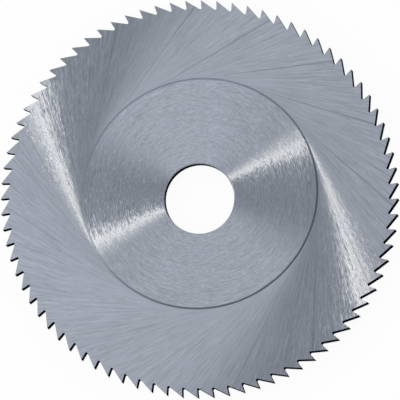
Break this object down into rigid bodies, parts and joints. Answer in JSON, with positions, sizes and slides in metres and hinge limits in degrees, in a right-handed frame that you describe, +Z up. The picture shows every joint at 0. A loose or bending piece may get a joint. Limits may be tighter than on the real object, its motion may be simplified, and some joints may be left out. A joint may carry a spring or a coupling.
{
  "type": "metal slitting saw",
  "caption": "Flat steel slitting saw disc with fine angular teeth around the rim, hollow-ground sides, a slightly raised hub and a plain arbor bore.",
  "frame": {"origin": "on the bore's axis, at the underside of the blade, which lies flat", "axes": "+Z up along the bore's axis; +Y and +X each point at a tooth tip; seen from +Z the teeth cut counter-clockwise"},
  "size_m": [0.125, 0.125, 0.006],
  "materials": {
    "ground_steel": "ground tool steel with visible grinding marks"
  },
  "bodies": {
    "root": {"saw_blade": "ground_steel"}
  },
  "joints": []
}
